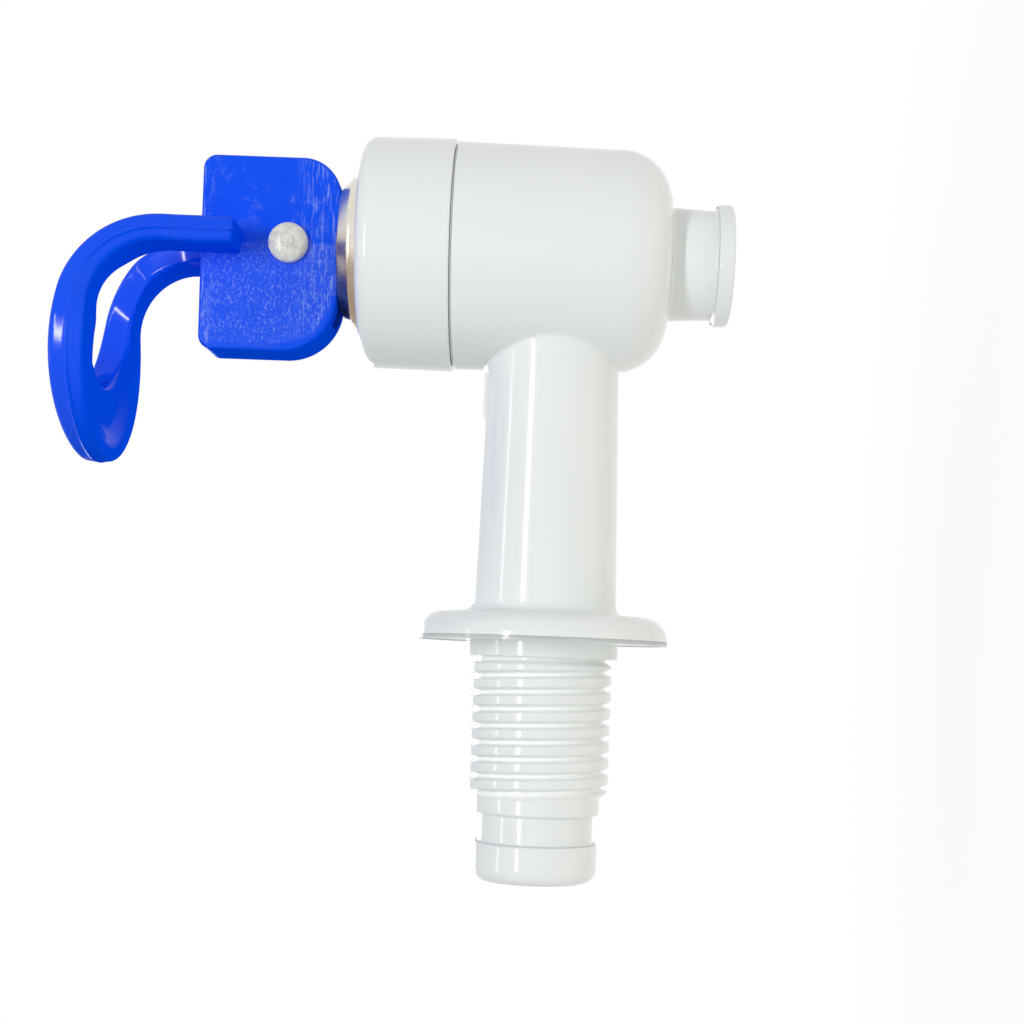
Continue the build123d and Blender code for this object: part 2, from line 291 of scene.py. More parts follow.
def tail_points():
    """The tail, flange and neck as one closed tube: radius and place along X over (row, angle).

    The rows follow a rounded profile from the neck over the flange and the thread to the tail's end,
    and back through the bore. The last rows follow the chamber's wall and flare out into it with a
    quarter arc.
    """
    thread_end = -collar_len - thread_len
    plain_end = thread_end - plain_len
    groove_end = plain_end - groove_len

    def neck_r(x):
        """Radius of the neck, which tapers evenly from the flange to the valve's axis."""
        return neck_base_r + (neck_top_r - neck_base_r) * (x - flange_t) / (valve_x - flange_t)

    head = rounded(
        [
            (neck_mid, neck_r(neck_mid), 0),
            (flange_t, neck_base_r, neck_fillet),
            (flange_t, flange_r, flange_edge),
            (0, flange_r, plain_edge),
            (0, collar_r, fine_edge),
            (-collar_len, collar_r, small_edge),
            (-collar_len, root_r, fine_edge),
            (-collar_len - thread_relief, root_r, 0),
        ],
        closed=False,
    )
    band_x = np.linspace(-collar_len - thread_relief - thread_gap, thread_end, thread_rows)
    band = np.stack([band_x, np.full_like(band_x, root_r)], 1)
    foot = rounded(
        [
            (thread_end - thread_lead, plain_r, 0),
            (plain_end, plain_r, plain_edge),
            (plain_end, groove_r, plain_foot),
            (groove_end, groove_r, plain_edge),
            (groove_end, lip_r, lip_top),
            (tail_end, lip_r, lip_edge),
            (tail_end, inlet_r, soft_edge),
            (tail_end + inlet_depth, inlet_r, crisp_edge),
            (tail_end + inlet_depth, waterway_r, crisp_edge),
            (neck_mid, waterway_r, 0),
        ],
        closed=False,
    )
    t = np.linspace(0, TAU, AROUND, endpoint=False)[None, :]
    path = np.concatenate([head, band, foot])
    x = path[:, :1] + 0 * t
    r = path[:, 1:] + 0 * t
    threaded = np.repeat([0, 1, 0], [len(head), len(band), len(foot)])[:, None]
    r = r + threaded * (crest_r - root_r) * thread_height(x, t)
    bend = np.linspace(QUARTER, 0, ARC_STEPS)[:, None]
    neck_end = neck_r(saddle_x(neck_top_r, t) - saddle_fillet)
    flare_r = neck_end + saddle_fillet * (1 - np.cos(bend))
    flare_x = saddle_x(flare_r, t) - saddle_fillet * (1 - np.sin(bend))
    hold_x = flare_x[-1:] - saddle_hold
    x = np.concatenate(
        [x, saddle_x(waterway_r, t) + saddle_sink, flare_x[:1] + saddle_sink, flare_x, hold_x]
    )
    r = np.concatenate([r, waterway_r + 0 * t, flare_r[:1], flare_r, neck_r(hold_x)])
    return np.stack([x, r * np.cos(t), r * np.sin(t)], -1)


def chamber_points():
    """The chamber, spout, valve seat and spigot: one closed profile spun about the valve's axis."""
    lip_z = spout_end + spout_lip_len
    ledge_z = cap_low[2] - seam_gap
    return valve_turned(
        [
            (spigot_r, spigot_top, plain_edge),
            (spigot_r, ledge_z, 0),
            (chamber_r - ledge_t, ledge_z, hair_edge),
            (chamber_r - ledge_t, seam_z, hair_edge),
            (chamber_r, seam_z, fine_edge),
            (chamber_low_r, chamber_foot, chamber_edge),
            (spout_r, chamber_foot, soft_edge),
            (spout_low_r, lip_z, soft_edge),
            (spout_lip_r, lip_z, plain_edge),
            (spout_lip_r, spout_end, spout_lip_edge),
            (outlet_r, spout_end, outlet_edge),
            (outlet_r, seat_z, small_edge),
            (outlet_r + seat_wall, seat_z, small_edge),
            (outlet_r + seat_wall, floor_z, plain_edge),
            (chamber_bore_r, floor_z, bore_foot),
            (chamber_bore_r, spigot_top, small_edge),
        ]
    )


def cap_points():
    """The bonnet cap, one closed profile: skirt, round shoulder, boss and the stem's guide sleeve."""
    boss_z = ring_top - ring_t
    return valve_turned(
        [
            (skirt_r, cap_low[2], crisp_edge),
            (cap_r, cap_low[2], skirt_edge),
            (cap_r - cap_draft, cap_top, cap_edge),
            (boss_r, cap_top, small_edge),
            (boss_r, boss_z, small_edge),
            (guide_r, boss_z, small_edge),
            (guide_r, sleeve_z, fine_edge),
            (sleeve_r, sleeve_z, small_edge),
            (sleeve_r, roof_z, plain_edge),
            (rib_r, roof_z, plain_edge),
            (rib_r, clamp_z, small_edge),
            (skirt_r, clamp_z, small_edge),
        ]
    )


def ring_points():
    """The wear ring, a pressed sheet with soft bends, one closed profile."""
    ring_r = (ring_high[0] - ring_low[0]) / 2
    return valve_turned(
        [
            (ring_r - ring_t, cap_top, crisp_edge),
            (ring_r, cap_top, ring_foot),
            (ring_r, cap_top + ring_side, ring_shoulder),
            (ring_top_r, ring_top, ring_crown),
            (ring_hole_r, ring_top, fine_edge),
            (ring_hole_r, ring_top - ring_t, crisp_edge),
            (ring_top_r - ring_t / 2, ring_top - ring_t, small_edge),
            (ring_r - ring_t, cap_top + ring_side - ring_t / 2, small_edge),
        ]
    )


def cup_points():
    """The seat cup: plug, thin wall, clamped rim and the pocket for the stem's button."""
    rim_r = cup_high[0] - valve_x
    foot_z = cup_low[2] + cup_floor
    return valve_turned(
        [
            (0, cup_low[2], 0),
            (cup_r, cup_low[2], plug_edge),
            (cup_r, spigot_top, soft_edge),
            (rim_r, spigot_top, fine_edge),
            (rim_r, cup_high[2], fine_edge),
            (cup_r - cup_wall, cup_high[2], plain_edge),
            (cup_r - cup_wall, foot_z, small_edge),
            (button_r, foot_z, crisp_edge),
            (button_r, foot_z - button_len, crisp_edge),
            (0, foot_z - button_len, 0),
        ],
        closed=False,
    )


def coil_points():
    """The spring: a ring of wire carried up a helix, with its two ends drawn to a point.

    point = centre(t) + wire * (cos(v) * outward + sin(v) * (tangent x outward))
    """
    t = np.linspace(0, TAU * coil_turns, turn_steps * coil_turns + 1)[:, None]
    v = np.linspace(0, TAU, wire_sides, endpoint=False)[None, :]
    low, high = spring_low[2] + coil_wire, spring_high[2] - coil_wire
    rise = (high - low) / t[-1, 0]
    out = np.stack([np.cos(t), np.sin(t), 0 * t], -1)
    run = np.stack([-coil_r * np.sin(t), coil_r * np.cos(t), rise + 0 * t], -1)
    over = np.cross(run / np.linalg.norm(run, axis=-1, keepdims=True), out)
    wire = np.where((t == 0) | (t == t[-1]), 0, coil_wire)[..., None]
    centre = np.array([valve_x, 0, low]) + coil_r * out + np.stack([0 * t, 0 * t, rise * t], -1)
    return centre + wire * (np.cos(v)[..., None] * out + np.sin(v)[..., None] * over)


def pin_points():
    """The pivot pin about its own axis: a small nub, a dome on an ellipse, and the shank."""
    brow_y = -block_half - brow_h
    angle = np.linspace(np.arcsin(nub_r / head_r), QUARTER, dome_steps)
    crown = brow_y - pin_low[1] - nub_h
    dome = np.stack([head_r * np.sin(angle), brow_y - crown * np.cos(angle) / np.cos(angle[0])], 1)
    nub = rounded([(0, pin_low[1], 0), (nub_r, pin_low[1], nub_edge), (*dome[0], 0)], closed=False)
    shank = rounded(
        [
            (head_r, -block_half - head_edge, crisp_edge),
            (head_r - head_edge, -block_half, 0),
            (shank_r, -block_half, 0),
            (shank_r, pin_high[1], soft_edge),
            (0, pin_high[1], 0),
        ],
        closed=False,
    )
    profile = np.concatenate([nub, dome[1:], shank])
    return turned(profile, (valve_x, 0, pin_z), (0, 1, 0), (1, 0, 0))


def block_points():
    """The cam block as a polar surface round the pin: (row, angle) to a point.

    The outline's radius at each angle comes from its rounded corners. Rows run from the middle of the
    near face to its edge, over a quarter arc, across the side, and back over the far face. Both faces
    fall away evenly ahead of the pin and behind it.
    """
    block_top = block_bottom + block_h
    outline = rounded(
        [
            (-block_front, block_bottom, cam_r),
            (block_back, block_bottom, heel_r),
            (block_back, block_top, crown_r),
            (-block_front, block_top, crown_r),
        ],
        steps=corner_steps,
    ) - (0, pin_z)
    far = np.roll(outline, -1, 0)
    share = np.linspace(0, 1, run_steps, endpoint=False)[None, :, None]
    outline = (outline[:, None] * (1 - share) + far[:, None] * share).reshape(-1, 2)
    bearing = np.arctan2(outline[:, 1], outline[:, 0])
    order = np.argsort(bearing)
    t = np.linspace(-np.pi, np.pi, block_around, endpoint=False)
    reach = np.interp(t, bearing[order], np.hypot(*outline[order].T), period=TAU)[None, :]
    bend = np.linspace(0, QUARTER, EDGE_STEPS)
    face = np.linspace(0, 1, face_rows, endpoint=False)
    inset = block_edge * np.concatenate([np.ones_like(face), 1 - np.sin(bend)])[:, None]
    spread = np.concatenate([face, np.ones_like(bend)])[:, None]
    drop = block_edge * np.concatenate([0 * face, 1 - np.cos(bend)])[:, None]
    radius = spread * (reach - inset)
    a, up = radius * np.cos(t), radius * np.sin(t)
    depth = block_half - block_draft * np.abs(a) / block_front - drop
    near = np.stack([valve_x + a, -depth, pin_z + up], -1)
    return np.concatenate([near, near[::-1] * (1, -1, 1)])


def slot_points():
    """The slot for the stem's tongue: a box whose two ends are drawn to a point."""
    side = np.array([(-slot_front, -1), (slot_back, -1), (slot_back, 1), (-slot_front, 1)], float)
    side = np.stack([valve_x + side[:, 0], slot_half * side[:, 1], 0 * side[:, 0]], -1)
    middle = np.repeat(side.mean(0, keepdims=True), 4, 0)
    low, high = (0, 0, block_bottom - slot_spare), (0, 0, block_bottom + slot_h)
    return np.stack([middle + low, side + low, side + high, middle + high])


# Lengths along the unrolled handle: straight arm, bend, paddle
arm_run = bend_z - arm_z
bend_run = (outer_bend + inner_bend) / 2 * (outer_turn + QUARTER) / 2
outer_end = arm_back - outer_bend * (1 - np.cos(outer_turn))
inner_end = arm_front - inner_bend
paddle_run = (outer_end + inner_end) / 2 - paddle_tip


def handle_sides(s):
    """Outer and inner (ahead, height) points of the bent handle at a distance s along it.

    The arm is straight, the bend turns on two arcs, and beyond it the top follows a wide arc over
    the flat underside.
    """
    arm = np.minimum(s, arm_run)
    turn = np.clip((s - arm_run) / bend_run, 0, 1)
    beyond = np.maximum((s - arm_run - bend_run) / paddle_run, 0)
    outer_a = arm_back - outer_bend * (1 - np.cos(turn * outer_turn))
    outer_a = outer_a + beyond * (paddle_tip - outer_end)
    hub_a = outer_end - crown_bend * np.cos(outer_turn)
    hub_z = bend_z + (outer_bend - crown_bend) * np.sin(outer_turn)
    crown_z = hub_z + np.sqrt(crown_bend**2 - (outer_a - hub_a) ** 2)
    outer_z = np.where(beyond > 0, crown_z, arm_z + arm + outer_bend * np.sin(turn * outer_turn))
    inner_a = arm_front - inner_bend * (1 - np.cos(turn * QUARTER))
    inner_a = inner_a + beyond * (paddle_tip - inner_end)
    inner_z = arm_z + arm + inner_bend * np.sin(turn * QUARTER)
    return np.stack([outer_a, outer_z], -1), np.stack([inner_a, inner_z], -1)


def loop_edge_line(arm_y, tip, radius, start):
    """Half of an outline of the loop in (distance along the handle, sideways), from arm end to middle.

    The straight arm at arm_y, then an arc in plan from a start angle round to the tip, both spaced
    evenly, then softened a little.
    """
    swing = np.linspace(start, np.pi, swing_steps)
    ahead, across = tip + radius + radius * np.cos(swing), radius * np.sin(swing)
    table = np.linspace(arm_run, arm_run + bend_run + paddle_run, plan_steps)
    sides = handle_sides(table)
    plan = (sides[0][:, 0] + sides[1][:, 0]) / 2
    along = np.interp(-ahead, -plan, table)
    line = np.stack([np.append(arm_run, along), np.append(arm_y, across)], -1)
    length = np.append(0, np.cumsum(np.linalg.norm(np.diff(line, axis=0), axis=1)))
    even = np.linspace(0, length[-1], rest_rows + 1)
    rest = np.stack([np.interp(even, length, line[:, k]) for k in range(2)], -1)
    arm = np.stack([np.linspace(tip_edge, arm_run, arm_rows), np.full(arm_rows, arm_y)], -1)
    half = np.concatenate([arm, rest[1:]])
    for _ in range(soft_passes):
        mirrored = half[-2] * (1, -1)
        padded = np.concatenate([half[:1], half, mirrored[None]])
        soft = (padded[:-2] + 2 * padded[1:-1] + padded[2:]) / 4
        half[1:] = soft[1:]
        half[-1, 1] = 0
    return half


def loop_points():
    """The loop handle: a round-cornered section carried round the loop from one arm end to the other.

    Each section runs between matching points of the loop's inner and outer outlines, and from the
    handle's underside to its top. Its outer side falls away from a fine parting ridge, which fades out
    at the paddle's tip. The paddle's underside is dished, and both arm ends close with a quarter arc
    to a point.
    """
    outer = loop_edge_line(arm_out, paddle_tip, paddle_r, paddle_start)
    inner = loop_edge_line(arm_in, hole_tip, hole_r, hole_start)

    # The closed end: a middle point and a quarter arc over which the section grows to its full size
    bend = np.linspace(0, QUARTER, EDGE_STEPS)
    arc, round_off = np.sin(bend), 1 - np.cos(bend)
    tip_s = np.append(0, tip_edge * round_off)
    tip_inset = np.append(tip_edge, tip_edge * (1 - arc))
    outer, inner = (
        np.concatenate([np.stack([tip_s, np.full_like(tip_s, line[0, 1])], 1), line[1:]])
        for line in (outer, inner)
    )
    half = np.arange(len(outer))
    rows = np.append(half, half[-2::-1])
    mirror = np.stack([np.ones(len(rows)), np.where(np.arange(len(rows)) < len(half), -1, 1)], 1)
    inset = np.append(tip_inset, np.zeros(len(half) - len(tip_inset)))[rows][:, None]
    shut = np.where(rows > 0, 1.0, 0.0)[:, None]
    outer, inner = outer[rows] * mirror, inner[rows] * mirror

    # The section: underside, outer side, top and inner side, with a quarter arc at each corner
    width = np.linalg.norm(outer - inner, axis=1)[:, None] - 2 * inset
    top, under = handle_sides((outer[:, 0] + inner[:, 0]) / 2)
    thick = np.linalg.norm(top - under, axis=1)[:, None] - 2 * inset
    corner = np.minimum(loop_edge, loop_edge_share * np.minimum(width, thick))
    low = np.linspace(0, 1, under_columns + 2)[1:-1]
    run = np.linspace(0, 1, side_columns + 2)[1:-1]
    one, none = np.ones_like(run), np.zeros_like(run)
    full, nil = np.ones_like(bend), np.zeros_like(bend)
    wide = [low, full, one, full, 1 - run, nil, none, nil]
    wide_corner = [1 - 2 * low, arc - 1, none, -round_off, 2 * run - 1, 1 - arc, none, round_off]
    high = [0 * low, nil, run, full, one, full, 1 - run, nil]
    high_corner = [0 * low, round_off, 1 - 2 * run, arc - 1, none, -round_off, 2 * run - 1, 1 - arc]
    wide, wide_corner, high, high_corner = (
        np.concatenate(part)[None, :] for part in (wide, wide_corner, high, high_corner)
    )
    p = wide * width + wide_corner * corner
    q = high * thick + high_corner * corner
    level = q / thick
    outward = smooth_step(draft_start, 1, p / width)
    fade = smooth_step(0, tip_calm, np.abs(outer[:, 1:]))
    ridge = ridge_h * fade * np.exp(-(((level - ridge_place) * thick / ridge_w) ** 2))
    p = p + outward * (ridge - loop_draft * np.abs(level - ridge_place) * 2) * shut
    share = (inset + p * shut + (1 - shut) * width / 2) / (width + 2 * inset)
    level = (inset + q * shut + (1 - shut) * thick / 2) / (thick + 2 * inset)
    flat = inner[:, None] * (1 - share[..., None]) + outer[:, None] * share[..., None]
    top, under = handle_sides(flat[..., 0])
    side = under * (1 - level[..., None]) + top * level[..., None]
    from_dish = np.hypot(side[..., 0] - dish_at, flat[..., 1])
    dish = dish_depth * (1 - smooth_step(dish_r - dish_cove, dish_r, from_dish))
    lift = dish * (1 - level) * (flat[..., 0] > arm_run + bend_run / 2)
    return np.stack([valve_x + side[..., 0], flat[..., 1], side[..., 1] + lift], -1)


class Wire:
    """A shader socket that takes part in Python arithmetic: each operator adds one Math node."""

    def __init__(self, finish, socket):
        self.finish = finish
        self.socket = socket

    def math(self, operation, *values):
        """A Math node that works on these values."""
        return self.finish.add("Math", {"operation": operation}, dict(enumerate(values)))

    def __add__(self, other):
        return self.math("ADD", self, other)

    def __sub__(self, other):
        return self.math("SUBTRACT", self, other)

    def __rsub__(self, other):
        return self.math("SUBTRACT", other, self)

    def __mul__(self, other):
        return self.math("MULTIPLY", self, other)

    def __lt__(self, other):
        return self.math("LESS_THAN", self, other)

    def __gt__(self, other):
        return self.math("GREATER_THAN", self, other)

    def __abs__(self):
        return self.math("ABSOLUTE", self)

    __radd__ = __add__
    __rmul__ = __mul__


class Finish:
    """A node tree that is built from Python: a piece's material, or the world's light."""

    def __init__(self, owner):
        owner.use_nodes = True
        self.owner = owner
        self.tree = owner.node_tree

    def add(self, kind, settings, inputs, output=0):
        """A new node: its settings first, then the values or links of its sockets."""
        node = self.tree.nodes.new("ShaderNode" + kind)
        for name, value in settings.items():
            setattr(node, name, value)
        self.feed(node, inputs)
        return Wire(self, node.outputs[output])

    def feed(self, node, inputs):
        """Sets or links a node's sockets."""
        for name, value in inputs.items():
            if isinstance(value, Wire):
                self.tree.links.new(value.socket, node.inputs[name])
            else:
                node.inputs[name].default_value = value

    def shade(self, inputs):
        """Sets or links the sockets of the surface shader and gives the finished material."""
        self.feed(self.tree.nodes["Principled BSDF"], inputs)
        return self.owner

    def seen(self):
        """1 for what the camera sees, straight, mirrored or through a clear piece, and else 0."""
        kinds = ("Camera", "Glossy", "Transmission")
        rays = [self.add("LightPath", {}, {}, f"Is {kind} Ray") for kind in kinds]
        return self.add("Clamp", {}, {"Value": rays[0] + rays[1] + rays[2]})

    def place(self):
        """Object coordinates, in metres."""
        return self.add("TexCoord", {}, {}, "Object")

    def part(self, vector, axis):
        """One part of a vector: X, Y or Z."""
        return self.add("SeparateXYZ", {}, {0: vector}, axis)

    def reach(self, a, b):
        """Length of a step with parts a and b at right angles: the square root of a^2 + b^2."""
        return self.add("Math", {"operation": "SQRT"}, {0: a * a + b * b})

    def noise(self, vector, scale, detail, roughness=0.5, stretch=(1, 1, 1)):
        """Noise between 0 and 1, drawn out along an axis where stretch is below 1."""
        spot = self.add("Mapping", {}, {"Vector": vector, "Scale": stretch})
        look = {"Vector": spot, "Scale": scale, "Detail": detail, "Roughness": roughness}
        return self.add("TexNoise", {}, look)

    def between(self, value, low, high):
        """0 at low, 1 at high, smooth between them and level beyond."""
        ends = {"Value": value, "From Min": low, "From Max": high}
        return self.add("MapRange", {"interpolation_type": "SMOOTHSTEP"}, ends)

    def zone(self, place, low, high):
        """As between, for a place in metres and ends in millimetres."""
        return self.between(place, low * MM, high * MM)

    def blend(self, share, first, second):
        """Two colours mixed by a share from 0 to 1."""
        return self.add("Mix", {"data_type": "RGBA"}, {"Factor": share, 6: first, 7: second}, 2)

    def bump(self, height, distance, strength):
        """A normal from a height, whose full step is a distance in metres."""
        return self.add("Bump", {}, {"Height": height, "Distance": distance, "Strength": strength})


def white_moulding():
    """Cool-white plastic, a little translucent: faint flow shades and a slightly uneven gloss.

    The grooves of the tail's thread are painted paler: painted light that lifts their shade, in place of light
    coming into them through the crests.
    """
    root_slack, crest_slack = 0.3, 0.1
    finish = Finish(bpy.data.materials.new("white_moulding"))
    spot = finish.place()
    x, y, z = (finish.part(spot, axis) for axis in "XYZ")
    flow = finish.noise(spot, scale=55, detail=2.0)
    fine = finish.noise(spot, scale=900, detail=3.0)
    shade = finish.blend(flow, (0.825, 0.862, 0.868, 1), (0.85, 0.878, 0.878, 1))
    from_axis = finish.reach(y, z)
    on_thread = (x < -collar_len * MM) * (x > -(collar_len + thread_len) * MM)
    on_thread = on_thread * (from_axis > (root_r - root_slack) * MM)
    # Painted light: a paler colour in the thread's grooves lifts their shade
    groove = on_thread * finish.zone(from_axis, crest_r - crest_slack, root_r)
    return finish.shade(
        {
            "Base Color": finish.blend(groove, shade, (0.96, 0.98, 0.98, 1)),
            "Roughness": 0.07 + 0.06 * fine + 0.05 * flow,
            "Normal": finish.bump(flow, distance=0.0002, strength=0.3),
            "IOR": 1.46,
            "Specular IOR Level": 0.4,
        }
    )


def blue_moulding():
    """Glossy deep-blue plastic, with the cam block's two faces rubbed pale.

    The rubbing is a sum of a fine even speckle on the paddle's side of the pin, thin clouds on the
    other side, and strokes along X near the block's foot and top. It stops short of the cam's edge.
    A small step runs across the arms where their bend starts. Faces that look down and towards the
    tail are matt.
    """
    face_slack, top_slack, arm_slack = 0.05, 0.1, 1.0
    rub_start, rub_full, half_blur = 0.5, 1.2, 0.1
    foot_start, foot_full, top_start, top_full = 6.0, 1.5, 1.6, 0.9
    step_start, step_full = 0.75, 0.6
    block_top, block_ahead = block_bottom + block_h, valve_x - block_front
    finish = Finish(bpy.data.materials.new("blue_moulding"))
    spot = finish.place()
    x, y, z = (finish.part(spot, axis) for axis in "XYZ")
    normal = finish.add("NewGeometry", {}, {}, "Normal")

    # Where the rubbing can be, from 0 to 1
    on_face = finish.between(abs(finish.part(normal, "Y")), 0.9, 0.995)
    on_block = (abs(y) < (block_half + face_slack) * MM) * (z < (block_top + top_slack) * MM) * on_face
    ahead, rise = x - (block_ahead + cam_r) * MM, z - (block_bottom + cam_r) * MM
    cam_rim = finish.zone(finish.reach(ahead, rise), cam_r - rub_full, cam_r - rub_start)
    on_cam = (ahead < 0) * (rise < 0) * cam_rim
    inside = finish.zone(x, block_ahead + rub_start, block_ahead + rub_full)
    inside = (0.45 + 0.55 * inside) * (1 - on_cam)
    paddle_side = finish.zone(x, valve_x + half_blur, valve_x - half_blur)
    near_foot = finish.zone(z, block_bottom + foot_start, block_bottom + foot_full)
    near_top = finish.zone(z, block_top - top_start, block_top - top_full)

    # Speckle, clouds and strokes
    grain = finish.noise(spot, scale=4600, detail=4.0, roughness=0.65, stretch=(0.6, 1, 1))
    specks = finish.between(grain, 0.5, 0.66)
    strokes = finish.noise(spot, scale=4200, detail=4.0, roughness=0.6, stretch=(0.09, 1, 1))
    cloud = finish.noise(spot, scale=520, detail=5.0, roughness=0.65)
    thin = finish.between(cloud, 0.5, 0.75)
    patches = paddle_side * (0.1 + 0.9 * cloud) + (1 - paddle_side) * thin * 0.55
    speckled = (0.12 + 0.88 * specks) * patches
    stroked = finish.between(strokes, 0.5, 0.66) * (0.65 * near_foot + 0.8 * near_top)
    rubbed = on_block * inside * finish.add("Clamp", {}, {"Value": speckled + stroked})

    dust = finish.noise(spot, scale=420, detail=3.0)
    flow = finish.noise(spot, scale=70, detail=2.0)
    deep = finish.blend(flow, (0.0005, 0.068, 0.88, 1), (0.001, 0.09, 0.95, 1))
    on_arm = abs(y) > (block_half + arm_slack) * MM
    step = finish.zone(z, bend_z - step_start, bend_z - step_full) * on_arm
    inward = 0 - finish.part(normal, "X") - finish.part(normal, "Z")
    glossy = 1 - finish.between(inward, 0.35, 0.95)
    return finish.shade(
        {
            "Base Color": finish.blend(rubbed, deep, (0.26, 0.36, 0.93, 1)),
            "Roughness": 0.3 + 0.1 * dust + 0.3 * rubbed,
            "Normal": finish.bump(step + 0.25 * rubbed * grain, distance=0.00012, strength=0.7),
            "Specular IOR Level": 0.0,
            "Coat Weight": (0.35 - 0.12 * rubbed - 0.14 * on_block) * glossy,
            "Coat Roughness": 0.1,
        }
    )


def polished_ring():
    """Polished plated sheet: fine lines round it, dull spots and a painted brown reflection towards the paddle."""
    brown_reflection_start, brown_reflection_full = 5.0, 10.0
    finish = Finish(bpy.data.materials.new("polished_ring"))
    spot = finish.place()
    x = finish.part(spot, "X")
    lines = finish.noise(spot, scale=1500, detail=2.0, stretch=(0.05, 0.05, 1))
    blotch = finish.noise(spot, scale=130, detail=3.0)
    dull = finish.between(finish.noise(spot, scale=700, detail=4.0), 0.58, 0.75)
    # Painted reflection: the colour turns brown towards the paddle, standing in for brown surroundings mirrored in
    # the ring
    brown_painted_reflection = finish.zone(x - 0.012 * blotch, valve_x - brown_reflection_start, valve_x - brown_reflection_full)
    return finish.shade(
        {
            "Base Color": finish.blend(brown_painted_reflection, (0.74, 0.71, 0.62, 1), (0.36, 0.27, 0.20, 1)),
            "Metallic": 1.0,
            "Roughness": 0.2 + 0.1 * lines + 0.12 * dull,
            "Normal": finish.bump(lines, distance=0.00003, strength=0.4),
        }
    )


def milky_nylon():
    """Milky translucent plastic with small pale clouds and a dented, moulded surface."""
    finish = Finish(bpy.data.materials.new("milky_nylon"))
    spot = finish.place()
    cloud = finish.noise(spot, scale=1500, detail=4.0, roughness=0.6)
    dents = finish.noise(spot, scale=1100, detail=2.0)
    milk = finish.between(cloud, 0.3, 0.7)
    return finish.shade(
        {
            "Base Color": finish.blend(milk, (0.60, 0.61, 0.56, 1), (0.80, 0.81, 0.77, 1)),
            "Roughness": 0.2 + 0.15 * cloud,
            "Normal": finish.bump(dents, distance=0.0002, strength=0.4),
            "IOR": 1.53,
        }
    )


def silicone():
    """Satin off-white silicone with a fine dusty grain."""
    finish = Finish(bpy.data.materials.new("silicone"))
    grain = finish.noise(finish.place(), scale=1800, detail=3.0)
    return finish.shade(
        {
            "Base Color": finish.blend(grain, (0.72, 0.72, 0.69, 1), (0.82, 0.82, 0.80, 1)),
            "Roughness": 0.45 + 0.2 * grain,
            "Normal": finish.bump(grain, distance=0.00003, strength=0.5),
        }
    )


def spring_wire():
    """Drawn steel wire with fine streaks."""
    finish = Finish(bpy.data.materials.new("spring_wire"))
    streak = finish.noise(finish.place(), scale=2500, detail=3.0)
    return finish.shade(
        {
            "Base Color": finish.blend(streak, (0.48, 0.48, 0.48, 1), (0.66, 0.66, 0.65, 1)),
            "Metallic": 1.0,
            "Roughness": 0.25 + 0.2 * streak,
            "Normal": finish.bump(streak, distance=0.00003, strength=0.4),
        }
    )


def slotted_block():
    """The cam block's mesh with the tongue's slot cut out of it."""
    block = shown(mesh_from("cam_block", (block_points(), False, True)))
    cutter = shown(mesh_from("tongue_slot", (slot_points(), False, True)))
    cut = block.modifiers.new("slot", "BOOLEAN")
    cut.operation = "DIFFERENCE"
    cut.solver = "EXACT"
    cut.object = cutter
    view = bpy.context.evaluated_depsgraph_get()
    mesh = bpy.data.meshes.new_from_object(block.evaluated_get(view))
    for thing in (block, cutter):
        bpy.data.objects.remove(thing)
    return mesh


# The tap's pieces
white = white_moulding()
nylon = milky_nylon()
body_mesh = mesh_from("tap_body", (tail_points(), True, True), (chamber_points(), True, True))
piece(body_mesh, "body", "housing", white)
cap_mesh = mesh_from("cap_shell", (cap_points(), True, True))
piece(cap_mesh, "bonnet_cap", "housing", white)
ring_mesh = mesh_from("pressed_ring", (ring_points(), True, True))
piece(ring_mesh, "wear_ring", "housing", polished_ring())
pin_mesh = mesh_from("domed_pin", (pin_points(), False, True))
piece(pin_mesh, "pivot_pin", "handle", nylon)
loop_mesh = mesh_from("blue_lever", (loop_points(), False, True))
lever_mesh = cleaned(loop_mesh, slotted_block())
piece(lever_mesh, "lever", "handle", blue_moulding())

# The cup and the spring each get a mesh of their own, and the share of its length that each keeps at the stem's
# full lift, held at its upper end, is worked out
lift_joint = next(joint for joint in frame["joints"] if joint["name"] == "stem_lift")
lift = lift_joint["range_m"][1] / MM
cup_mesh = mesh_from("silicone_cup", (cup_points(), False, True))
cup = piece(cup_mesh, "seat_cup", "housing", silicone())
cup_hold, cup_keep = (valve_x * MM, 0, spigot_top * MM), 1 - lift / (spigot_top - cup_low[2])
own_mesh(cup)
coil_mesh = mesh_from("coil_spring", (coil_points(), False, True))
coil = piece(coil_mesh, "return_spring", "housing", spring_wire())
coil_keep = 1 - lift / (spring_high[2] - spring_low[2])
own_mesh(coil)
stem = frame["nodes"]["valve_stem"]
stem.data.materials.clear()
stem.data.materials.append(nylon)

# Stage: a wide pale floor under the tap, and an even white surround
middle_x, middle_z = valve_x / 2, 12.0
floor_drop, floor_r, floor_sides, floor_rings = -75.0, 900.0, 64, 12
floor_glow, shadow_share, shadow_r = 0.6, 0.9, 130.0


def pale_floor():
    """Pale matt floor that lights the tap softly from below.

    It shows nearly white: it keeps some of the tap's shadow in the middle, and further out it fades
    into the white surround.
    """
    finish = Finish(bpy.data.materials.new("pale_floor"))
    seen = finish.seen()
    finish.shade({"Base Color": (0.93, 0.91, 0.85, 1), "Roughness": 0.9})
    warmth = finish.blend(seen, (1, 0.98, 0.9, 1), (1, 1, 1, 1))
    glow = finish.add("Emission", {}, {"Color": warmth})
    reach = finish.add("VectorMath", {"operation": "LENGTH"}, {0: finish.place()}, "Value")
    fade = finish.zone(reach, shadow_r, 2 * shadow_r)
    share = floor_glow + seen * (shadow_share - floor_glow + (1 - shadow_share) * fade)
    matt = Wire(finish, finish.tree.nodes["Principled BSDF"].outputs[0])
    both = finish.add("MixShader", {}, {0: share, 1: matt, 2: glow})
    finish.feed(finish.tree.nodes["Material Output"], {"Surface": both})
    return finish.owner


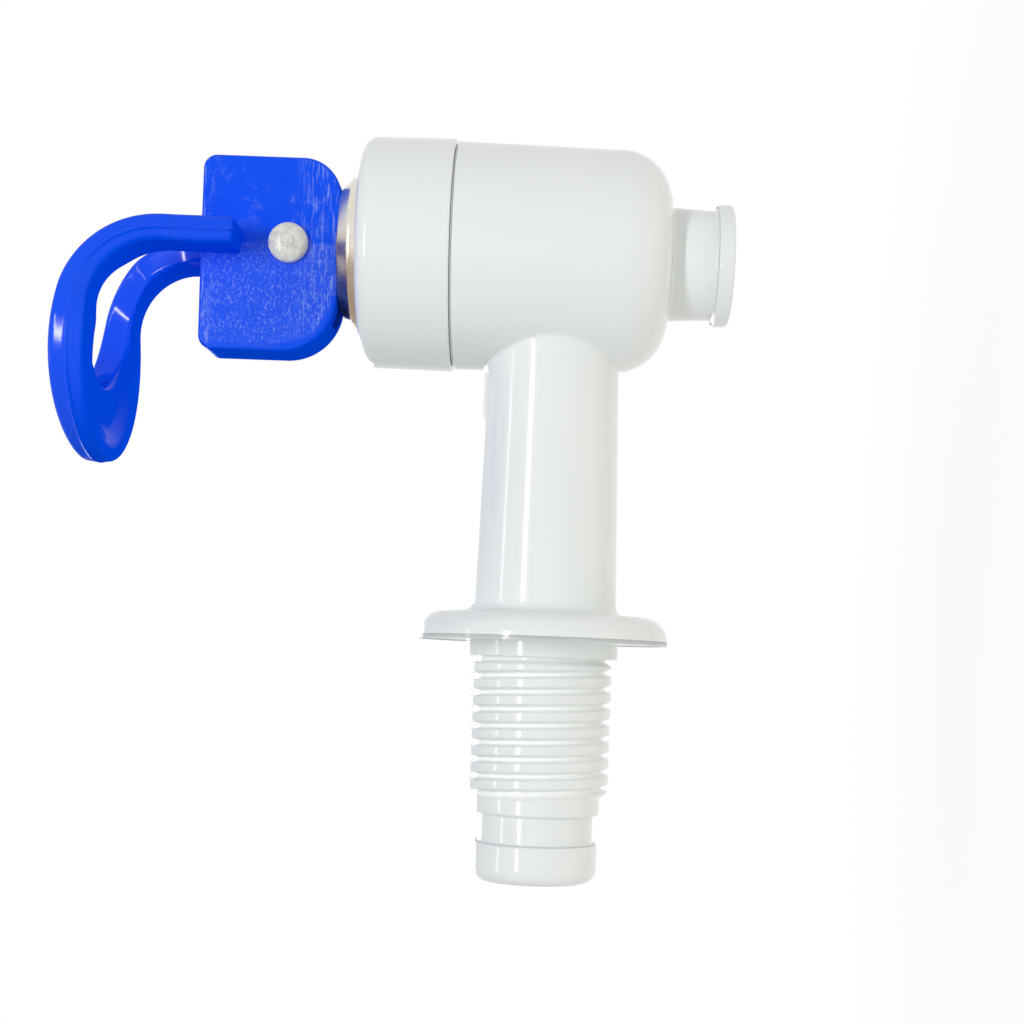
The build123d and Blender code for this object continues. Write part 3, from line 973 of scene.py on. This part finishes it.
def floor_points():
    """A flat disc from its rim to its middle: point = middle + radius * (cos(t), sin(t))."""
    t = np.linspace(0, TAU, floor_sides, endpoint=False)[None, :]
    spread = np.linspace(floor_r, 0, floor_rings)[:, None]
    level = floor_drop + 0 * spread * t
    return np.stack([middle_x + spread * np.cos(t), spread * np.sin(t), level], -1)


floor_mesh = mesh_from("floor", (floor_points(), False, True))
floor_mesh.materials.append(pale_floor())
shown(floor_mesh)

world = bpy.data.worlds.new("studio")
bpy.context.scene.world = world
sky = Finish(world)
fill = sky.add("Background", {}, {"Color": (0.96, 0.99, 1.0, 1), "Strength": 0.32})
plain = sky.add("Background", {}, {"Color": (1, 1, 1, 1), "Strength": 1.0})
surround = sky.add("MixShader", {}, {0: sky.seen(), 1: fill, 2: plain})
sky.feed(sky.tree.nodes["World Output"], {"Surface": surround})


def soft_lamp(name, direction, distance, size, power):
    """A flat lamp that faces the tap from a distance; size is its length along X and its height."""
    lamp = bpy.data.lights.new(name, "AREA")
    lamp.shape = "RECTANGLE"
    lamp.size, lamp.size_y = size
    lamp.energy = power
    thing = bpy.data.objects.new(name, lamp)
    bpy.context.scene.collection.objects.link(thing)
    away = Vector(direction).normalized()
    aim = Vector((middle_x, 0, middle_z)) * MM
    turn = away.to_track_quat("Z", "Y").to_matrix().to_4x4()
    thing.matrix_world = Matrix.Translation(aim + away * distance) @ turn


soft_lamp("key", (0.04, -1.0, 0.62), distance=0.7, size=(0.34, 0.03), power=2.1)
soft_lamp("front", (-0.1, -1.0, -0.05), distance=0.8, size=(0.4, 0.4), power=0.2)
soft_lamp("side", (0.0, -0.35, 1.0), distance=0.6, size=(0.3, 0.03), power=0.3)
soft_lamp("back", (-0.1, 1.0, 0.45), distance=0.8, size=(0.4, 0.4), power=1.7)

# Camera: the photograph looks across the tap, with the valve's axis lying level in the picture
view_roll = np.radians(2.1)
camera_place = np.array([-3.155, -190.0, -0.52]) * MM
right = (np.sin(view_roll), 0, -np.cos(view_roll))
up = (np.cos(view_roll), 0, np.sin(view_roll))
back = (0, -1, 0)
camera = bpy.data.objects.new("camera", bpy.data.cameras.new("camera"))
camera.data.lens = 59.2
camera.data.sensor_width = 36
camera.data.shift_x = -0.033
camera.data.shift_y = 0.154
camera.data.clip_start = 0.01
bpy.context.scene.collection.objects.link(camera)
turn = np.column_stack([right, up, back, camera_place])
camera.matrix_world = Matrix([*turn.tolist(), (0, 0, 0, 1)])
bpy.context.scene.camera = camera
bpy.context.scene.view_settings.view_transform = "Standard"
